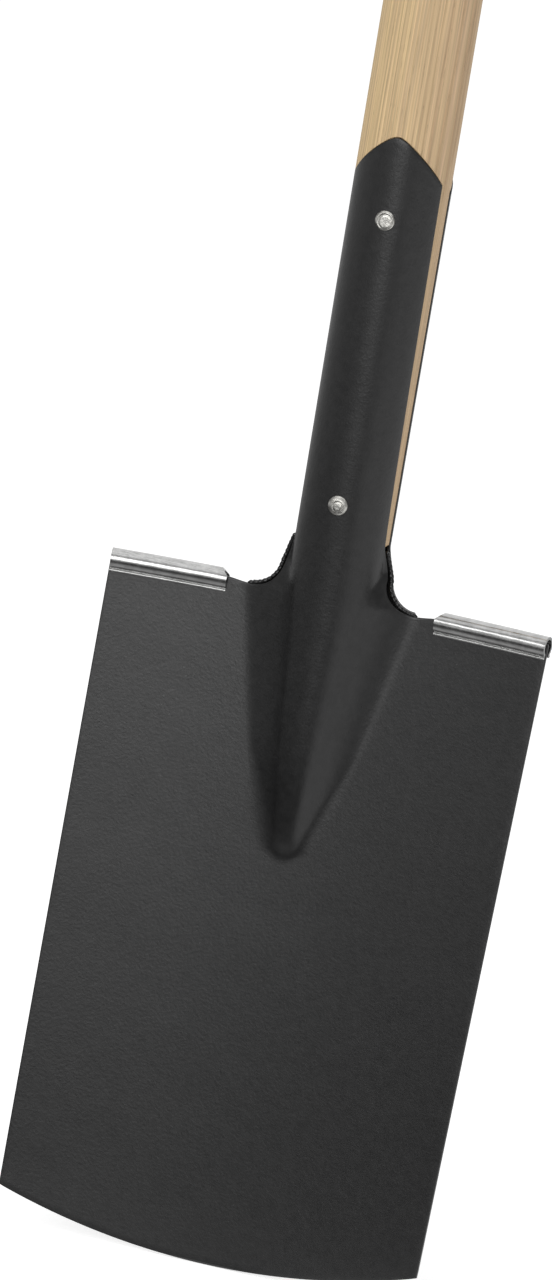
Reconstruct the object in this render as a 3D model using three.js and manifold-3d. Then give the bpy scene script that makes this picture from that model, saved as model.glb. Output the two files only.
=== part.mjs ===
// A gardener's spade: a pressed steel blade whose hollow frog runs up into a front strap, a rear strap welded
// to its back, rolled steel treads on its shoulders, and an ash shaft riveted between the straps that ends
// in a T-shaped grip. Millimetres, +Z up along the shaft, the blade's face towards -Y, +X to its right.
// The design frame has z = 0 at the blade's shoulders; the whole group is then lowered so that the origin
// is the middle of the grip.
import * as THREE from "three";
import { mergeVertices } from "three/addons/utils/BufferGeometryUtils.js";
import Module from "manifold-3d";

// Blade
const BLADE_LENGTH = 285; // shoulders to the middle of the cutting edge, along the blade
const SHOULDER_WIDTH = 190;
const EDGE_WIDTH = 183;
const EDGE_BOW = 16; // how far the cutting edge is rounded
const BLADE_SHEET = 1.8;
const LIFT_DEG = 6.9; // the blade leans forward of the shaft by this much
const FACE_OFFSET = 0.9; // the blade's face lies this far in front of the shaft's axis at the shoulders
const DISH_RADIUS = 535; // the blade is curved across, hollow to the front
const FROG_LENGTH = 113; // the hollow frog reaches this far below the shoulders
const NOSE_LENGTH = 28; // its blunt lower end
const NOSE_RADIUS = 9;
const FROG_ROOT_FILLET = 24; // where the frog runs out into the blade, near the shoulders
const FROG_TIP_FILLET = 16; // and at the nose
const NECK_FILLET = 2.5; // the tight crease beside the neck

// Straps and neck
const STRAP_SHEET = 1.6; // the rear strap's sheet
const STRAP_STAND = 0.5; // the straps' outside stands this far proud of the wood
const STRAP_FLARE = 0.0045; // gain in the straps' radius for each millimetre up
const SEAM_HEIGHT = 24; // the two sheets part here, and the wood shows between them above it
const FRONT_CORNER_HEIGHT = 178;
const FRONT_POINT_HEIGHT = 195.5;
const REAR_CORNER_HEIGHT = 175;
const REAR_POINT_HEIGHT = 192;
const POINT_ROUNDING = 0.16; // share of the half-width over which each strap's point is rounded
const FRONT_SEAM_ANGLE = 77; // half of the arc that the front strap covers at the seam
const FRONT_TOP_ANGLE = 66; // and at its upper corners
const REAR_ANGLE = 88;
const NECK_SPREAD = 3.6; // the neck is this much wider each side at the shoulder fillets than its straps
const SHOULDER_FILLET = 12;
const SHEET_STEP = 1.2; // the blade's edge stands back from the rear strap's edge round the fillet
const NECK_BOW = 0.0087; // the neck bends forward out of the blade's plane, per square millimetre
const TONGUE_LENGTH = 120; // the rear strap's tongue on the blade's back
const TONGUE_TIP_HALF_WIDTH = 14;
const REAR_HOLLOW_LENGTH = 92; // the rear strap's hollow below the shoulders
const REAR_TIP_FILLET = 14;

// Treads: steel tubes, slit and pressed over the shoulders
const TREAD_LENGTH = 48.2;
const TREAD_RADIUS = 4.5;
const TREAD_WALL = 1.2;
const TREAD_RISE = 3; // how far a tread stands above the blade's shoulder
const TREAD_LIP = 1.9; // length of the flared lips under the pinch
const TREAD_LIP_FLARE = 0.9;
const TREAD_CHAMFER = 3; // the inner end's upper corner

// Shaft, grip and fastenings
const SHAFT_RADIUS = 20.2;
const SHAFT_TOP_RADIUS = 16;
const STRAIGHT_UP_TO = 330; // the shaft is parallel up to here and tapers above it
const SHAFT_END_DEPTH = 84; // the shaft reaches this far below the shoulders
const SHAFT_END_SQUEEZE = 0.85; // its lower end is a little narrower than the hollow's crown
const GRIP_HEIGHT = 800; // the grip's axis above the shoulders
const GRIP_LENGTH = 130;
const GRIP_RADIUS = 17;
const GRIP_END_RADIUS = 13.5;
const GRIP_END_ROUNDING = 4;
const TENON_RADIUS = 11;
const WEDGE_WIDTH = 17;
const WEDGE_DEPTH = 20;
const WEDGE_TOP = 3;
const WEDGE_TIP = 1;
const PIN_RADIUS = 1.75;
const RIVET_HEIGHTS = { upper_rivet: 161, lower_rivet: 41.1 };
const RIVET_RADIUS = 3;
const RIVET_HEAD_RADIUS = 4.2;
const RIVET_HEAD_HEIGHT = 1.7;
const WELD_RADIUS = 0.9;

const CLEARANCE = 0.3; // between pieces that touch
const SHEET_GAP = 0.5; // between the blade's back and the rear strap, which the welds bridge
const SEAT_CLEARANCE = 0.7; // round the shaft's lower end inside the hollow

const radians = THREE.MathUtils.degToRad;
const lerp = THREE.MathUtils.lerp;
const smoothstep = THREE.MathUtils.smoothstep;
const leanSlope = Math.tan(radians(LIFT_DEG));
const leanCosine = Math.cos(radians(LIFT_DEG));



// The straps' outside radius follows from the shaft that they hold.
const neckRadius = SHAFT_RADIUS + STRAP_STAND - STRAP_FLARE * FRONT_CORNER_HEIGHT;
const filletCentre = neckRadius + NECK_SPREAD + SHOULDER_FILLET;

const wasm = await Module();
wasm.setup();

// ---- Solids and meshes ----

function toSolid(geometry) {
  const bare = geometry.clone();
  bare.deleteAttribute("normal");
  bare.deleteAttribute("uv");
  const merged = mergeVertices(bare, 1e-4);
  return new wasm.Manifold(
    new wasm.Mesh({
      numProp: 3,
      vertProperties: merged.attributes.position.array,
      triVerts: new Uint32Array(merged.index.array),
    }),
  );
}

function toGeometry(solid) {
  const mesh = solid.getMesh();
  const geometry = new THREE.BufferGeometry();
  geometry.setAttribute("position", new THREE.BufferAttribute(mesh.vertProperties, 3));
  geometry.setIndex(new THREE.BufferAttribute(mesh.triVerts, 1));
  geometry.computeVertexNormals();
  return geometry;
}

// Closes two grids of points, rows of equal length with null where there is no sheet, into one solid sheet.
function closeSheet(front, back) {
  const points = [];
  const numbers = [front, back].map((grid) =>
    grid.map((row) => row.map((point) => (point ? points.push(point) - 1 : -1))),
  );
  const faces = [];
  const edges = new Map();
  const addQuad = (a, b, c, d) => faces.push(a, b, c, a, c, d);
  for (let j = 0; j + 1 < front.length; j++) {
    for (let i = 0; i + 1 < front[j].length; i++) {
      const corners = [[j, i], [j, i + 1], [j + 1, i + 1], [j + 1, i]];
      if (corners.some(([row, column]) => !front[row][column])) continue;
      addQuad(...corners.map(([row, column]) => numbers[0][row][column]));
      addQuad(...corners.map(([row, column]) => numbers[1][row][column]).reverse());
      corners.forEach((from, n) => {
        const to = corners[(n + 1) % 4];
        const twin = `${to}>${from}`;
        if (edges.has(twin)) edges.delete(twin);
        else edges.set(`${from}>${to}`, [from, to]);
      });
    }
  }
  for (const [from, to] of edges.values()) {
    const [a, b] = [from, to].map(([row, column]) => numbers[0][row][column]);
    const [c, d] = [to, from].map(([row, column]) => numbers[1][row][column]);
    addQuad(b, a, d, c);
  }
  const geometry = new THREE.BufferGeometry();
  geometry.setAttribute(
    "position",
    new THREE.Float32BufferAttribute(points.flatMap((p) => [p.x, p.y, p.z]), 3),
  );
  geometry.setIndex(faces);
  return geometry;
}

// Each point's normal, from the quads round it. It points to the side from which rows run up and columns
// run right.
function gridNormals(grid) {
  const normals = grid.map((row) => row.map(() => new THREE.Vector3()));
  for (let j = 0; j + 1 < grid.length; j++) {
    for (let i = 0; i + 1 < grid[j].length; i++) {
      const corners = [[j, i], [j, i + 1], [j + 1, i + 1], [j + 1, i]];
      const [a, b, c, d] = corners.map(([row, column]) => grid[row][column]);
      if (!a || !b || !c || !d) continue;
      const face = new THREE.Vector3().crossVectors(c.clone().sub(a), d.clone().sub(b));
      corners.forEach(([row, column]) => normals[row][column].add(face));
    }
  }
  return normals.map((row) => row.map((normal) => normal.normalize()));
}

const offsetGrid = (grid, normals, distance) =>
  grid.map((row, j) =>
    row.map((point, i) => point && point.clone().addScaledVector(normals[j][i], distance)),
  );

// Joins rings of points, all of one count, into a closed solid with a fan or a strip at each end.
function loft(rings, capEnds) {
  const count = rings[0].length;
  const points = rings.flat();
  const faces = [];
  for (let j = 0; j + 1 < rings.length; j++) {
    for (let i = 0; i < count; i++) {
      const next = (i + 1) % count;
      const [a, b] = [j * count + i, j * count + next];
      faces.push(a, b, b + count, a, b + count, a + count);
    }
  }
  capEnds(faces, count, (rings.length - 1) * count);
  const geometry = new THREE.BufferGeometry();
  geometry.setAttribute(
    "position",
    new THREE.Float32BufferAttribute(points.flatMap((p) => [p.x, p.y, p.z]), 3),
  );
  geometry.setIndex(faces);
  return geometry;
}

function fanCaps(faces, count, last) {
  for (let i = 1; i + 1 < count; i++) {
    faces.push(0, i + 1, i, last, last + i, last + i + 1);
  }
}

// For a ring that runs out along one side of a wall and back along the other.
function stripCaps(faces, count, last) {
  for (let i = 0; i + 1 < count / 2; i++) {
    const far = count - 1 - i;
    faces.push(i, far - 1, i + 1, i, far, far - 1);
    faces.push(last + i, last + i + 1, last + far - 1, last + i, last + far - 1, last + far);
  }
}

const steps = (count) => Array.from({ length: count + 1 }, (_, i) => i / count);

function cylinderAlongY(radius, length, sides) {
  return new THREE.CylinderGeometry(radius, radius, length, sides);
}

// ---- The two sheets' shared shape ----

const strapRadius = (z) => neckRadius + STRAP_FLARE * Math.max(z, 0);
const dish = (x, z) => (x * x) / (2 * DISH_RADIUS) * (1 - smoothstep(z, 0, SEAM_HEIGHT));
const neckBow = (z) => NECK_BOW * Math.max(z, 0) ** 2;

// The blade's face where nothing is raised from it.
const baseFace = (x, z) => -FACE_OFFSET + leanSlope * z - neckBow(z) - dish(x, z);

// A section's height over its base: a round crown that runs out in a fillet.
function crownHeight(x, crest, radius, fillet) {
  if (crest <= 0) return 0;
  const foot = Math.sqrt(crest * (2 * (radius + fillet) - crest));
  const turn = (foot * radius) / (radius + fillet);
  const across = Math.abs(x);
  if (across >= foot) return 0;
  if (across > turn) return fillet - Math.sqrt(fillet ** 2 - (foot - across) ** 2);
  return crest - radius + Math.sqrt(radius ** 2 - across ** 2);
}

function frogSection(z) {
  const depth = Math.max(-z, 0);
  const share = Math.min(depth / FROG_LENGTH, 1);
  const rootCrest = neckRadius - FACE_OFFSET;
  const noseStart = FROG_LENGTH - NOSE_LENGTH;
  const noseBend = (rootCrest - leanSlope * FROG_LENGTH) / NOSE_LENGTH ** 2;
  const lowered = noseBend * Math.max(depth - noseStart, 0) ** 2;
  return {
    crest: strapRadius(z) - FACE_OFFSET + leanSlope * z - neckBow(z) - lowered,
    radius: lerp(strapRadius(z), NOSE_RADIUS, share),
    fillet: lerp(
      lerp(FROG_ROOT_FILLET, FROG_TIP_FILLET, share),
      NECK_FILLET,
      smoothstep(z, -10, 9),
    ),
  };
}

function rearSection(z) {
  const bladeBack = -FACE_OFFSET + BLADE_SHEET + SHEET_GAP + STRAP_SHEET;
  const rootCrest = strapRadius(z) - bladeBack - leanSlope * z + neckBow(z);
  const share = THREE.MathUtils.clamp((SEAM_HEIGHT - z) / (SEAM_HEIGHT + REAR_HOLLOW_LENGTH), 0, 1);
  return {
    crest: rootCrest * (1 - share ** 1.6),
    radius: lerp(strapRadius(z), NOSE_RADIUS, share),
    fillet: lerp(lerp(FROG_ROOT_FILLET, REAR_TIP_FILLET, share), NECK_FILLET, smoothstep(z, -10, 9)),
  };
}

const bladeFace = (x, z) => {
  const { crest, radius, fillet } = frogSection(z);
  return baseFace(x, z) - crownHeight(x, crest, radius, fillet);
};
const rearFace = (x, z) => {
  const { crest, radius, fillet } = rearSection(z);
  const flange = baseFace(x, z) + BLADE_SHEET + SHEET_GAP + STRAP_SHEET;
  return flange + crownHeight(x, crest, radius, fillet);
};

// Half of the neck's width: a concave fillet up from the shoulders, then a taper to the seam.
function neckTop(x, inset, seamHalfWidth) {
  const radius = SHOULDER_FILLET + inset;
  const filletEnd = filletCentre - radius;
  if (x >= filletCentre) {
    const back = Math.min((x - filletCentre) / SHOULDER_FILLET, 1);
    return -inset * (1 - smoothstep(back, 0, 1));
  }
  if (x > filletEnd) return SHOULDER_FILLET - Math.sqrt(radius ** 2 - (filletCentre - x) ** 2);
  return lerp(SEAM_HEIGHT, SHOULDER_FILLET, (x - seamHalfWidth) / (filletEnd - seamHalfWidth));
}

// A strap's pointed upper end, for a share of its half-width from -1 to 1.
function pointedTop(share, corner, point) {
  const across = Math.hypot(share, POINT_ROUNDING) - POINT_ROUNDING;
  return lerp(point, corner, across / (Math.hypot(1, POINT_ROUNDING) - POINT_ROUNDING));
}

// A sheet's outer face as a grid: a left wing, a middle and a right wing up to the neck, then the strap.
// With a margin it is the strap alone, that much wider and taller.
function sheetGrid(plan, margin = 0) {
  const halfAngle = (z) => {
    const share = (z - SEAM_HEIGHT) / (plan.corner - SEAM_HEIGHT);
    return radians(lerp(plan.seamAngle, plan.topAngle, Math.min(Math.sqrt(share), 1)))
      + margin / neckRadius;
  };
  const seamHalfWidth = strapRadius(SEAM_HEIGHT) * Math.sin(radians(plan.seamAngle));
  const columns = [
    ...plan.wing.slice(1).reverse().map((w) => ({ side: -1, wing: w })),
    ...steps(plan.middleSteps).map((k) => ({ share: 2 * k - 1 })),
    ...plan.wing.slice(1).map((w) => ({ side: 1, wing: w })),
  ];
  const seamSin = Math.sin(radians(plan.seamAngle));
  const middleX = (share, rise) =>
    (lerp(plan.middleAtEdge, seamHalfWidth, rise) * Math.sin(share * radians(plan.seamAngle))) / seamSin;
  const lowerRow = (rise) =>
    columns.map(({ side, wing, share }) => {
      if (side === undefined) {
        const x = middleX(share, rise);
        const z = lerp(plan.edge(middleX(share, 0)), SEAM_HEIGHT, rise);
        return new THREE.Vector3(x, plan.face(x, z), z);
      }
      const [edgeOuter, topOuter] = [plan.half(0), plan.half(1)];
      const atEdge = lerp(plan.middleAtEdge, edgeOuter, wing);
      const atTop = lerp(seamHalfWidth, topOuter, wing);
      const x = lerp(middleX(1, rise), plan.half(rise), wing);
      const z = lerp(plan.edge(atEdge), neckTop(atTop, plan.inset, seamHalfWidth), rise);
      return new THREE.Vector3(side * x, plan.face(x, z), z);
    });
  const upperRow = (rise) =>
    columns.map(({ share }) => {
      if (share === undefined) return null;
      const tip = pointedTop(share, plan.corner, plan.point) + margin;
      const z = lerp(SEAM_HEIGHT, plan.corner, rise) + (tip - plan.corner) * rise ** 4;
      const angle = share * halfAngle(Math.min(z, plan.corner));
      const radius = strapRadius(z);
      return new THREE.Vector3(radius * Math.sin(angle), plan.facing * radius * Math.cos(angle), z);
    });
  const strapRows = steps(plan.strapSteps).map(upperRow);
  return margin ? strapRows : [...plan.rises.map(lowerRow), ...strapRows.slice(1)];
}

const edgeArc = ((EDGE_WIDTH / 2) ** 2 + EDGE_BOW ** 2) / (2 * EDGE_BOW);
const bladePlan = {
  facing: -1,
  face: bladeFace,
  seamAngle: FRONT_SEAM_ANGLE,
  topAngle: FRONT_TOP_ANGLE,
  corner: FRONT_CORNER_HEIGHT,
  point: FRONT_POINT_HEIGHT,
  inset: SHEET_STEP,
  middleAtEdge: neckRadius,
  middleSteps: 16,
  strapSteps: 7,
  wing: [0, 0.025, 0.055, 0.1, 0.15, 0.21, 0.32, 0.5, 0.75, 1],
  rises: [0, 0.15, 0.29, 0.42, 0.51, 0.57, ...steps(17).map((k) => lerp(0.6, 1, k ** 0.8))],
  edge: (x) => -leanCosine * (BLADE_LENGTH - (edgeArc - Math.sqrt(edgeArc ** 2 - x * x))),
  half: (rise) => lerp(EDGE_WIDTH, SHOULDER_WIDTH, rise) / 2,
};
const rearPlan = {
  facing: 1,
  face: rearFace,
  seamAngle: REAR_ANGLE,
  topAngle: REAR_ANGLE,
  corner: REAR_CORNER_HEIGHT,
  point: REAR_POINT_HEIGHT,
  inset: 0,
  middleAtEdge: TONGUE_TIP_HALF_WIDTH * 0.6,
  middleSteps: 16,
  strapSteps: 7,
  wing: [0, 0.2, 0.45, 0.7, 1],
  rises: steps(16).map((k) => k ** 0.8),
  edge: (x) => -TONGUE_LENGTH + 8 * (x / TONGUE_TIP_HALF_WIDTH) ** 2,
  half: (rise) => lerp(TONGUE_TIP_HALF_WIDTH, filletCentre, Math.sin((rise * Math.PI) / 2)),
};

// The blade's rows run up and its columns right, so its normals face -Y; the rear strap's are turned round.
function sheetSolid(plan, thickness) {
  const face = sheetGrid(plan);
  const back = offsetGrid(face, gridNormals(face), plan.facing < 0 ? -thickness : thickness);
  return toSolid(plan.facing < 0 ? closeSheet(face, back) : closeSheet(back, face));
}

// What the strap takes out of the wood: its own shape with a margin, and all outside it.
function seatCutter(plan, thickness) {
  const face = sheetGrid(plan, CLEARANCE);
  const normals = gridNormals(face);
  const inward = plan.facing < 0 ? -1 : 1;
  const inner = offsetGrid(face, normals, inward * (thickness + CLEARANCE));
  const outer = offsetGrid(face, normals, -inward * STRAP_STAND * 4);
  return toSolid(plan.facing < 0 ? closeSheet(outer, inner) : closeSheet(inner, outer));
}

// ---- Treads ----

// A tread's section, from one lip round the tube to the other and back inside; [depth, height] from the
// middle of the blade's shoulder.
function treadSection() {
  const centre = TREAD_RISE - TREAD_RADIUS;
  const inner = TREAD_RADIUS - TREAD_WALL;
  const mouth = BLADE_SHEET / 2 + CLEARANCE;
  const pinch = Math.asin((mouth + TREAD_WALL / 2) / (TREAD_RADIUS - TREAD_WALL / 2));
  const round = (radius) =>
    steps(14).map((k) => {
      const angle = lerp(pinch, 2 * Math.PI - pinch, k) - Math.PI / 2;
      return [radius * Math.cos(angle), centre + radius * Math.sin(angle)];
    });
  const lipTop = centre - TREAD_RADIUS * Math.cos(pinch);
  const lip = (side, depth) => [side * (mouth + depth + TREAD_LIP_FLARE), lipTop - TREAD_LIP];
  const neck = (side, depth) => [side * (mouth + depth), lipTop - 0.1];
  const outside = [lip(1, TREAD_WALL), neck(1, TREAD_WALL * 0.9), ...round(TREAD_RADIUS).slice(1, -1)];
  outside.push(neck(-1, TREAD_WALL * 0.9), lip(-1, TREAD_WALL));
  const inside = [lip(1, 0), neck(1, 0), ...round(inner).slice(1, -1), neck(-1, 0), lip(-1, 0)];
  return [...outside, ...inside.reverse()];
}

function treadGeometry(side) {
  const section = treadSection();
  const outer = SHOULDER_WIDTH / 2;
  const chamferFrom = TREAD_RISE - TREAD_CHAMFER;
  const up = new THREE.Vector3(0, Math.sin(radians(LIFT_DEG)), leanCosine);
  const rings = steps(4).map((k) =>
    section.map(([depth, height]) => {
      const cut = Math.max(height - chamferFrom, 0);
      const x = lerp(outer - TREAD_LENGTH + cut, outer, k);
      const along = new THREE.Vector3(1, -x / DISH_RADIUS, 0).normalize();
      const forward = new THREE.Vector3().crossVectors(along, up).normalize();
      const middle = new THREE.Vector3(x, baseFace(x, 0) + BLADE_SHEET / 2, 0);
      return middle.addScaledVector(forward, depth).addScaledVector(up, height);
    }),
  );
  if (side > 0) return loft(rings.reverse(), stripCaps);
  rings.forEach((ring) => ring.forEach((point) => point.setX(-point.x)));
  return loft(rings, stripCaps);
}

// ---- Shaft and grip ----

function gripProfile(extra) {
  const half = GRIP_LENGTH / 2;
  const crown = steps(6).map((k) => {
    const along = lerp(half - GRIP_END_ROUNDING, 0, k);
    const share = along / (half - GRIP_END_ROUNDING);
    return [lerp(GRIP_RADIUS, GRIP_END_RADIUS, share ** 2) + extra, along];
  });
  const corner = steps(3).map((k) => {
    const angle = (k * Math.PI) / 2;
    const inset = GRIP_END_ROUNDING * (1 - Math.sin(angle));
    return [GRIP_END_RADIUS - inset + extra, half - GRIP_END_ROUNDING * (1 - Math.cos(angle)) + extra];
  });
  const upperHalf = [[0, half + extra], ...corner.slice(0, -1), ...crown];
  const lowerHalf = upperHalf.slice(0, -1).reverse().map(([radius, along]) => [radius, -along]);
  return [...upperHalf, ...lowerHalf].reverse().map(([radius, along]) => new THREE.Vector2(radius, along));
}

function gripBody(extra = 0) {
  const geometry = new THREE.LatheGeometry(gripProfile(extra), 28);
  geometry.rotateZ(Math.PI / 2);
  geometry.translate(0, 0, GRIP_HEIGHT);
  return toSolid(geometry);
}

function uprightCylinder(radius, from, to, sides) {
  const geometry = new THREE.CylinderGeometry(radius, radius, to - from, sides);
  geometry.rotateX(Math.PI / 2);
  geometry.translate(0, 0, (from + to) / 2);
  return toSolid(geometry);
}

function shaftRing(z) {
  const sides = 40;
  const inHollow = z < SEAM_HEIGHT + 1;
  const front = frogSection(z);
  const rear = rearSection(z);
  const base = baseFace(0, z);
  const middle = base * smoothstep(-z, 0, SHAFT_END_DEPTH / 2);
  const wood = Math.min(SHAFT_RADIUS, strapRadius(z) - STRAP_STAND);
  const taper = THREE.MathUtils.clamp((z - STRAIGHT_UP_TO) / (GRIP_HEIGHT - STRAIGHT_UP_TO), 0, 1);
  return steps(sides).slice(0, -1).map((k) => {
    const angle = k * 2 * Math.PI;
    if (!inHollow) {
      const radius = lerp(wood, SHAFT_TOP_RADIUS, taper);
      return new THREE.Vector3(radius * Math.sin(angle), -radius * Math.cos(angle), z);
    }
    const crown = Math.min(front.radius - BLADE_SHEET, rear.radius - STRAP_SHEET) - SEAT_CLEARANCE;
    const across = crown * lerp(1, SHAFT_END_SQUEEZE, smoothstep(-z, 0, SHAFT_END_DEPTH / 2));
    const forward = middle - (base - front.crest) - BLADE_SHEET - SEAT_CLEARANCE;
    const backward = base + BLADE_SHEET + SHEET_GAP + rear.crest - SEAT_CLEARANCE - middle;
    const reach = Math.cos(angle) > 0 ? forward : backward;
    return new THREE.Vector3(across * Math.sin(angle), middle - reach * Math.cos(angle), z);
  });
}

function shaftSolid() {
  const hollowHeights = steps(8).map((k) => lerp(-SHAFT_END_DEPTH, SEAM_HEIGHT, k));
  const woodHeights = [SEAM_HEIGHT + 2, FRONT_CORNER_HEIGHT, STRAIGHT_UP_TO, GRIP_HEIGHT];
  const body = toSolid(loft([...hollowHeights, ...woodHeights].map(shaftRing), fanCaps));
  const tenon = uprightCylinder(TENON_RADIUS, GRIP_HEIGHT - GRIP_RADIUS - 5, GRIP_HEIGHT + 30, 24);
  return body
    .subtract(seatCutter(bladePlan, BLADE_SHEET))
    .subtract(seatCutter(rearPlan, STRAP_SHEET))
    .subtract(gripBody(CLEARANCE))
    .add(tenon.intersect(gripBody().add(uprightCylinder(TENON_RADIUS, GRIP_HEIGHT - 30, GRIP_HEIGHT, 24))))
    .subtract(wedgeSolid(CLEARANCE))
    .subtract(toSolid(pinGeometry(CLEARANCE)))
    .subtract(rivetHoles());
}

function gripSolid() {
  const bore = uprightCylinder(TENON_RADIUS + CLEARANCE, GRIP_HEIGHT - 30, GRIP_HEIGHT + 30, 24);
  return gripBody().subtract(bore).subtract(toSolid(pinGeometry(CLEARANCE)));
}

// The wedge stands across the grip's length and is trimmed flush with the grip's round top.
function wedgeSolid(extra = 0) {
  const outline = new THREE.Shape();
  const [top, tip] = [WEDGE_TOP / 2 + extra, WEDGE_TIP / 2 + extra];
  const high = GRIP_HEIGHT + GRIP_RADIUS + 1;
  const low = GRIP_HEIGHT + GRIP_RADIUS - WEDGE_DEPTH - extra;
  outline.moveTo(-tip, low).lineTo(tip, low).lineTo(top, high).lineTo(-top, high);
  const width = WEDGE_WIDTH + 2 * extra;
  const geometry = new THREE.ExtrudeGeometry(outline, { depth: width, bevelEnabled: false });
  geometry.rotateX(Math.PI / 2);
  geometry.translate(0, width / 2, 0);
  return extra ? toSolid(geometry) : toSolid(geometry).intersect(gripBody());
}

function pinGeometry(extra = 0) {
  const length = 2 * GRIP_RADIUS - 1 + 4 * extra;
  const geometry = cylinderAlongY(PIN_RADIUS + extra, length, 12);
  geometry.translate(0, 0, GRIP_HEIGHT - GRIP_RADIUS / 2);
  return geometry;
}

// ---- Fastenings and welds ----

function rivetGeometry(z) {
  const seat = strapRadius(z) + CLEARANCE;
  const dome = steps(4).map((k) => [
    RIVET_HEAD_RADIUS * Math.cos((k * Math.PI) / 2),
    seat + RIVET_HEAD_HEIGHT * (0.3 + 0.7 * Math.sin((k * Math.PI) / 2)),
  ]);
  dome[4][0] = 0;
  const half = [[RIVET_RADIUS, seat], [RIVET_HEAD_RADIUS, seat], ...dome];
  const profile = [...half.slice().reverse().map(([radius, y]) => [radius, -y]), ...half];
  const geometry = new THREE.LatheGeometry(profile.map(([radius, y]) => new THREE.Vector2(radius, y)), 16);
  geometry.translate(0, 0, z);
  return geometry;
}

function rivetHoles() {
  return Object.values(RIVET_HEIGHTS)
    .map((z) => toSolid(cylinderAlongY(RIVET_RADIUS + CLEARANCE, 60, 16).translate(0, 0, z)))
    .reduce((all, hole) => all.add(hole));
}

// A bead along the step between the two sheets' edges, from the seam round the shoulder fillet.
function weldGeometry(side) {
  const seam = strapRadius(SEAM_HEIGHT);
  const centreLine = steps(9).map((k) => {
    const x = lerp(seam, filletCentre - 1, k ** 1.5);
    const z = neckTop(x, 0, seam);
    return new THREE.Vector3(side * x, baseFace(x, z) + BLADE_SHEET - WELD_RADIUS * 1.2, z);
  });
  const path = new THREE.CatmullRomCurve3(centreLine);
  const section = new THREE.Shape().absarc(0, 0, WELD_RADIUS, 0, 2 * Math.PI);
  return new THREE.ExtrudeGeometry(section, { steps: 14, curveSegments: 4, extrudePath: path });
}

// ---- The spade ----

const paint = new THREE.MeshStandardMaterial({ color: 0x2f2f30, roughness: 0.45, metalness: 0.1 });
const zinc = new THREE.MeshStandardMaterial({ color: 0xc4c4c2, roughness: 0.28, metalness: 1 });
const ash = new THREE.MeshStandardMaterial({ color: 0xc2a67e, roughness: 0.55, metalness: 0 });

const spade = new THREE.Group();
spade.position.z = -GRIP_HEIGHT;

function addPiece(parent, name, geometry, material) {
  const mesh = new THREE.Mesh(geometry, material);
  mesh.name = name;
  parent.add(mesh);
}

const head = new THREE.Group();
const holes = rivetHoles();
addPiece(head, "blade", toGeometry(sheetSolid(bladePlan, BLADE_SHEET).subtract(holes)), paint);
addPiece(head, "rear_strap", toGeometry(sheetSolid(rearPlan, STRAP_SHEET).subtract(holes)), paint);
addPiece(head, "left_weld", weldGeometry(-1), paint);
addPiece(head, "right_weld", weldGeometry(1), paint);
addPiece(head, "left_tread", treadGeometry(-1), zinc);
addPiece(head, "right_tread", treadGeometry(1), zinc);
for (const [name, z] of Object.entries(RIVET_HEIGHTS)) addPiece(head, name, rivetGeometry(z), zinc);

const handle = new THREE.Group();
addPiece(handle, "shaft", toGeometry(shaftSolid()), ash);
addPiece(handle, "grip", toGeometry(gripSolid()), ash);
addPiece(handle, "grip_wedge", toGeometry(wedgeSolid()), ash);
addPiece(handle, "grip_pin", pinGeometry(), zinc);

spade.add(head, handle);

export default spade;
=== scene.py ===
from math import asin, cos, hypot, pi, radians, sin, tan
from types import SimpleNamespace

import bpy
import numpy as np
from mathutils import Matrix, Vector


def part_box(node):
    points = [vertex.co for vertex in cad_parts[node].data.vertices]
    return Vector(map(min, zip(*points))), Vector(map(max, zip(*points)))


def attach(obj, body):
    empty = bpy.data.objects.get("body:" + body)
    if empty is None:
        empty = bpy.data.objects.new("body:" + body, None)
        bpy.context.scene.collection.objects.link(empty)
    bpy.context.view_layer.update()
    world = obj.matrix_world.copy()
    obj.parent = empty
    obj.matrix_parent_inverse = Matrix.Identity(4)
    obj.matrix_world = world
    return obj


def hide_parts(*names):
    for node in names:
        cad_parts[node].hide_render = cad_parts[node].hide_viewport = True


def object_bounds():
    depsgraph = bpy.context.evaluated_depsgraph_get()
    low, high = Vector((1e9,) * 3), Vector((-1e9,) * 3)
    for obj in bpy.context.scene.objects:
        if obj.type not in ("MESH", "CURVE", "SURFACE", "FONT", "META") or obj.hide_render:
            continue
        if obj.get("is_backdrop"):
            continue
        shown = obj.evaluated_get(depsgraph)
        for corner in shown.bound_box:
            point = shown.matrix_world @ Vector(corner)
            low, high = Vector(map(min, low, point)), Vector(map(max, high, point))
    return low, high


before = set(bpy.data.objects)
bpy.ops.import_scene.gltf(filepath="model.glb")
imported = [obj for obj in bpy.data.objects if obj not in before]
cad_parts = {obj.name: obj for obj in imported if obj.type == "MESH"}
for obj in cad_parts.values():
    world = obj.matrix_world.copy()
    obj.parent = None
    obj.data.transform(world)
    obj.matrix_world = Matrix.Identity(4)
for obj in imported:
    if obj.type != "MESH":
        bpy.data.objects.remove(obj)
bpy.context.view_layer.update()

# A gardener's spade: enamelled steel blade and straps, rolled steel treads, ash shaft and T-shaped grip.
# Metres, +Z up along the shaft, the blade's face towards -Y. Heights are measured from the blade's shoulders
# and lowered into the frame when a mesh is made.
MM = 0.001

# Blade
BLADE_LENGTH = 285 * MM
SHOULDER_WIDTH = 190 * MM
EDGE_WIDTH = 183 * MM
EDGE_BOW = 16 * MM
BLADE_SHEET = 1.8 * MM
LEAN = radians(6.9)
FACE_OFFSET = 0.9 * MM
DISH_RADIUS = 535 * MM
FROG_LENGTH = 113 * MM
NOSE_LENGTH = 52 * MM
NOSE_RADIUS = 8 * MM
FROG_ROOT_FILLET = 44 * MM
FROG_TIP_FILLET = 20 * MM

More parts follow.
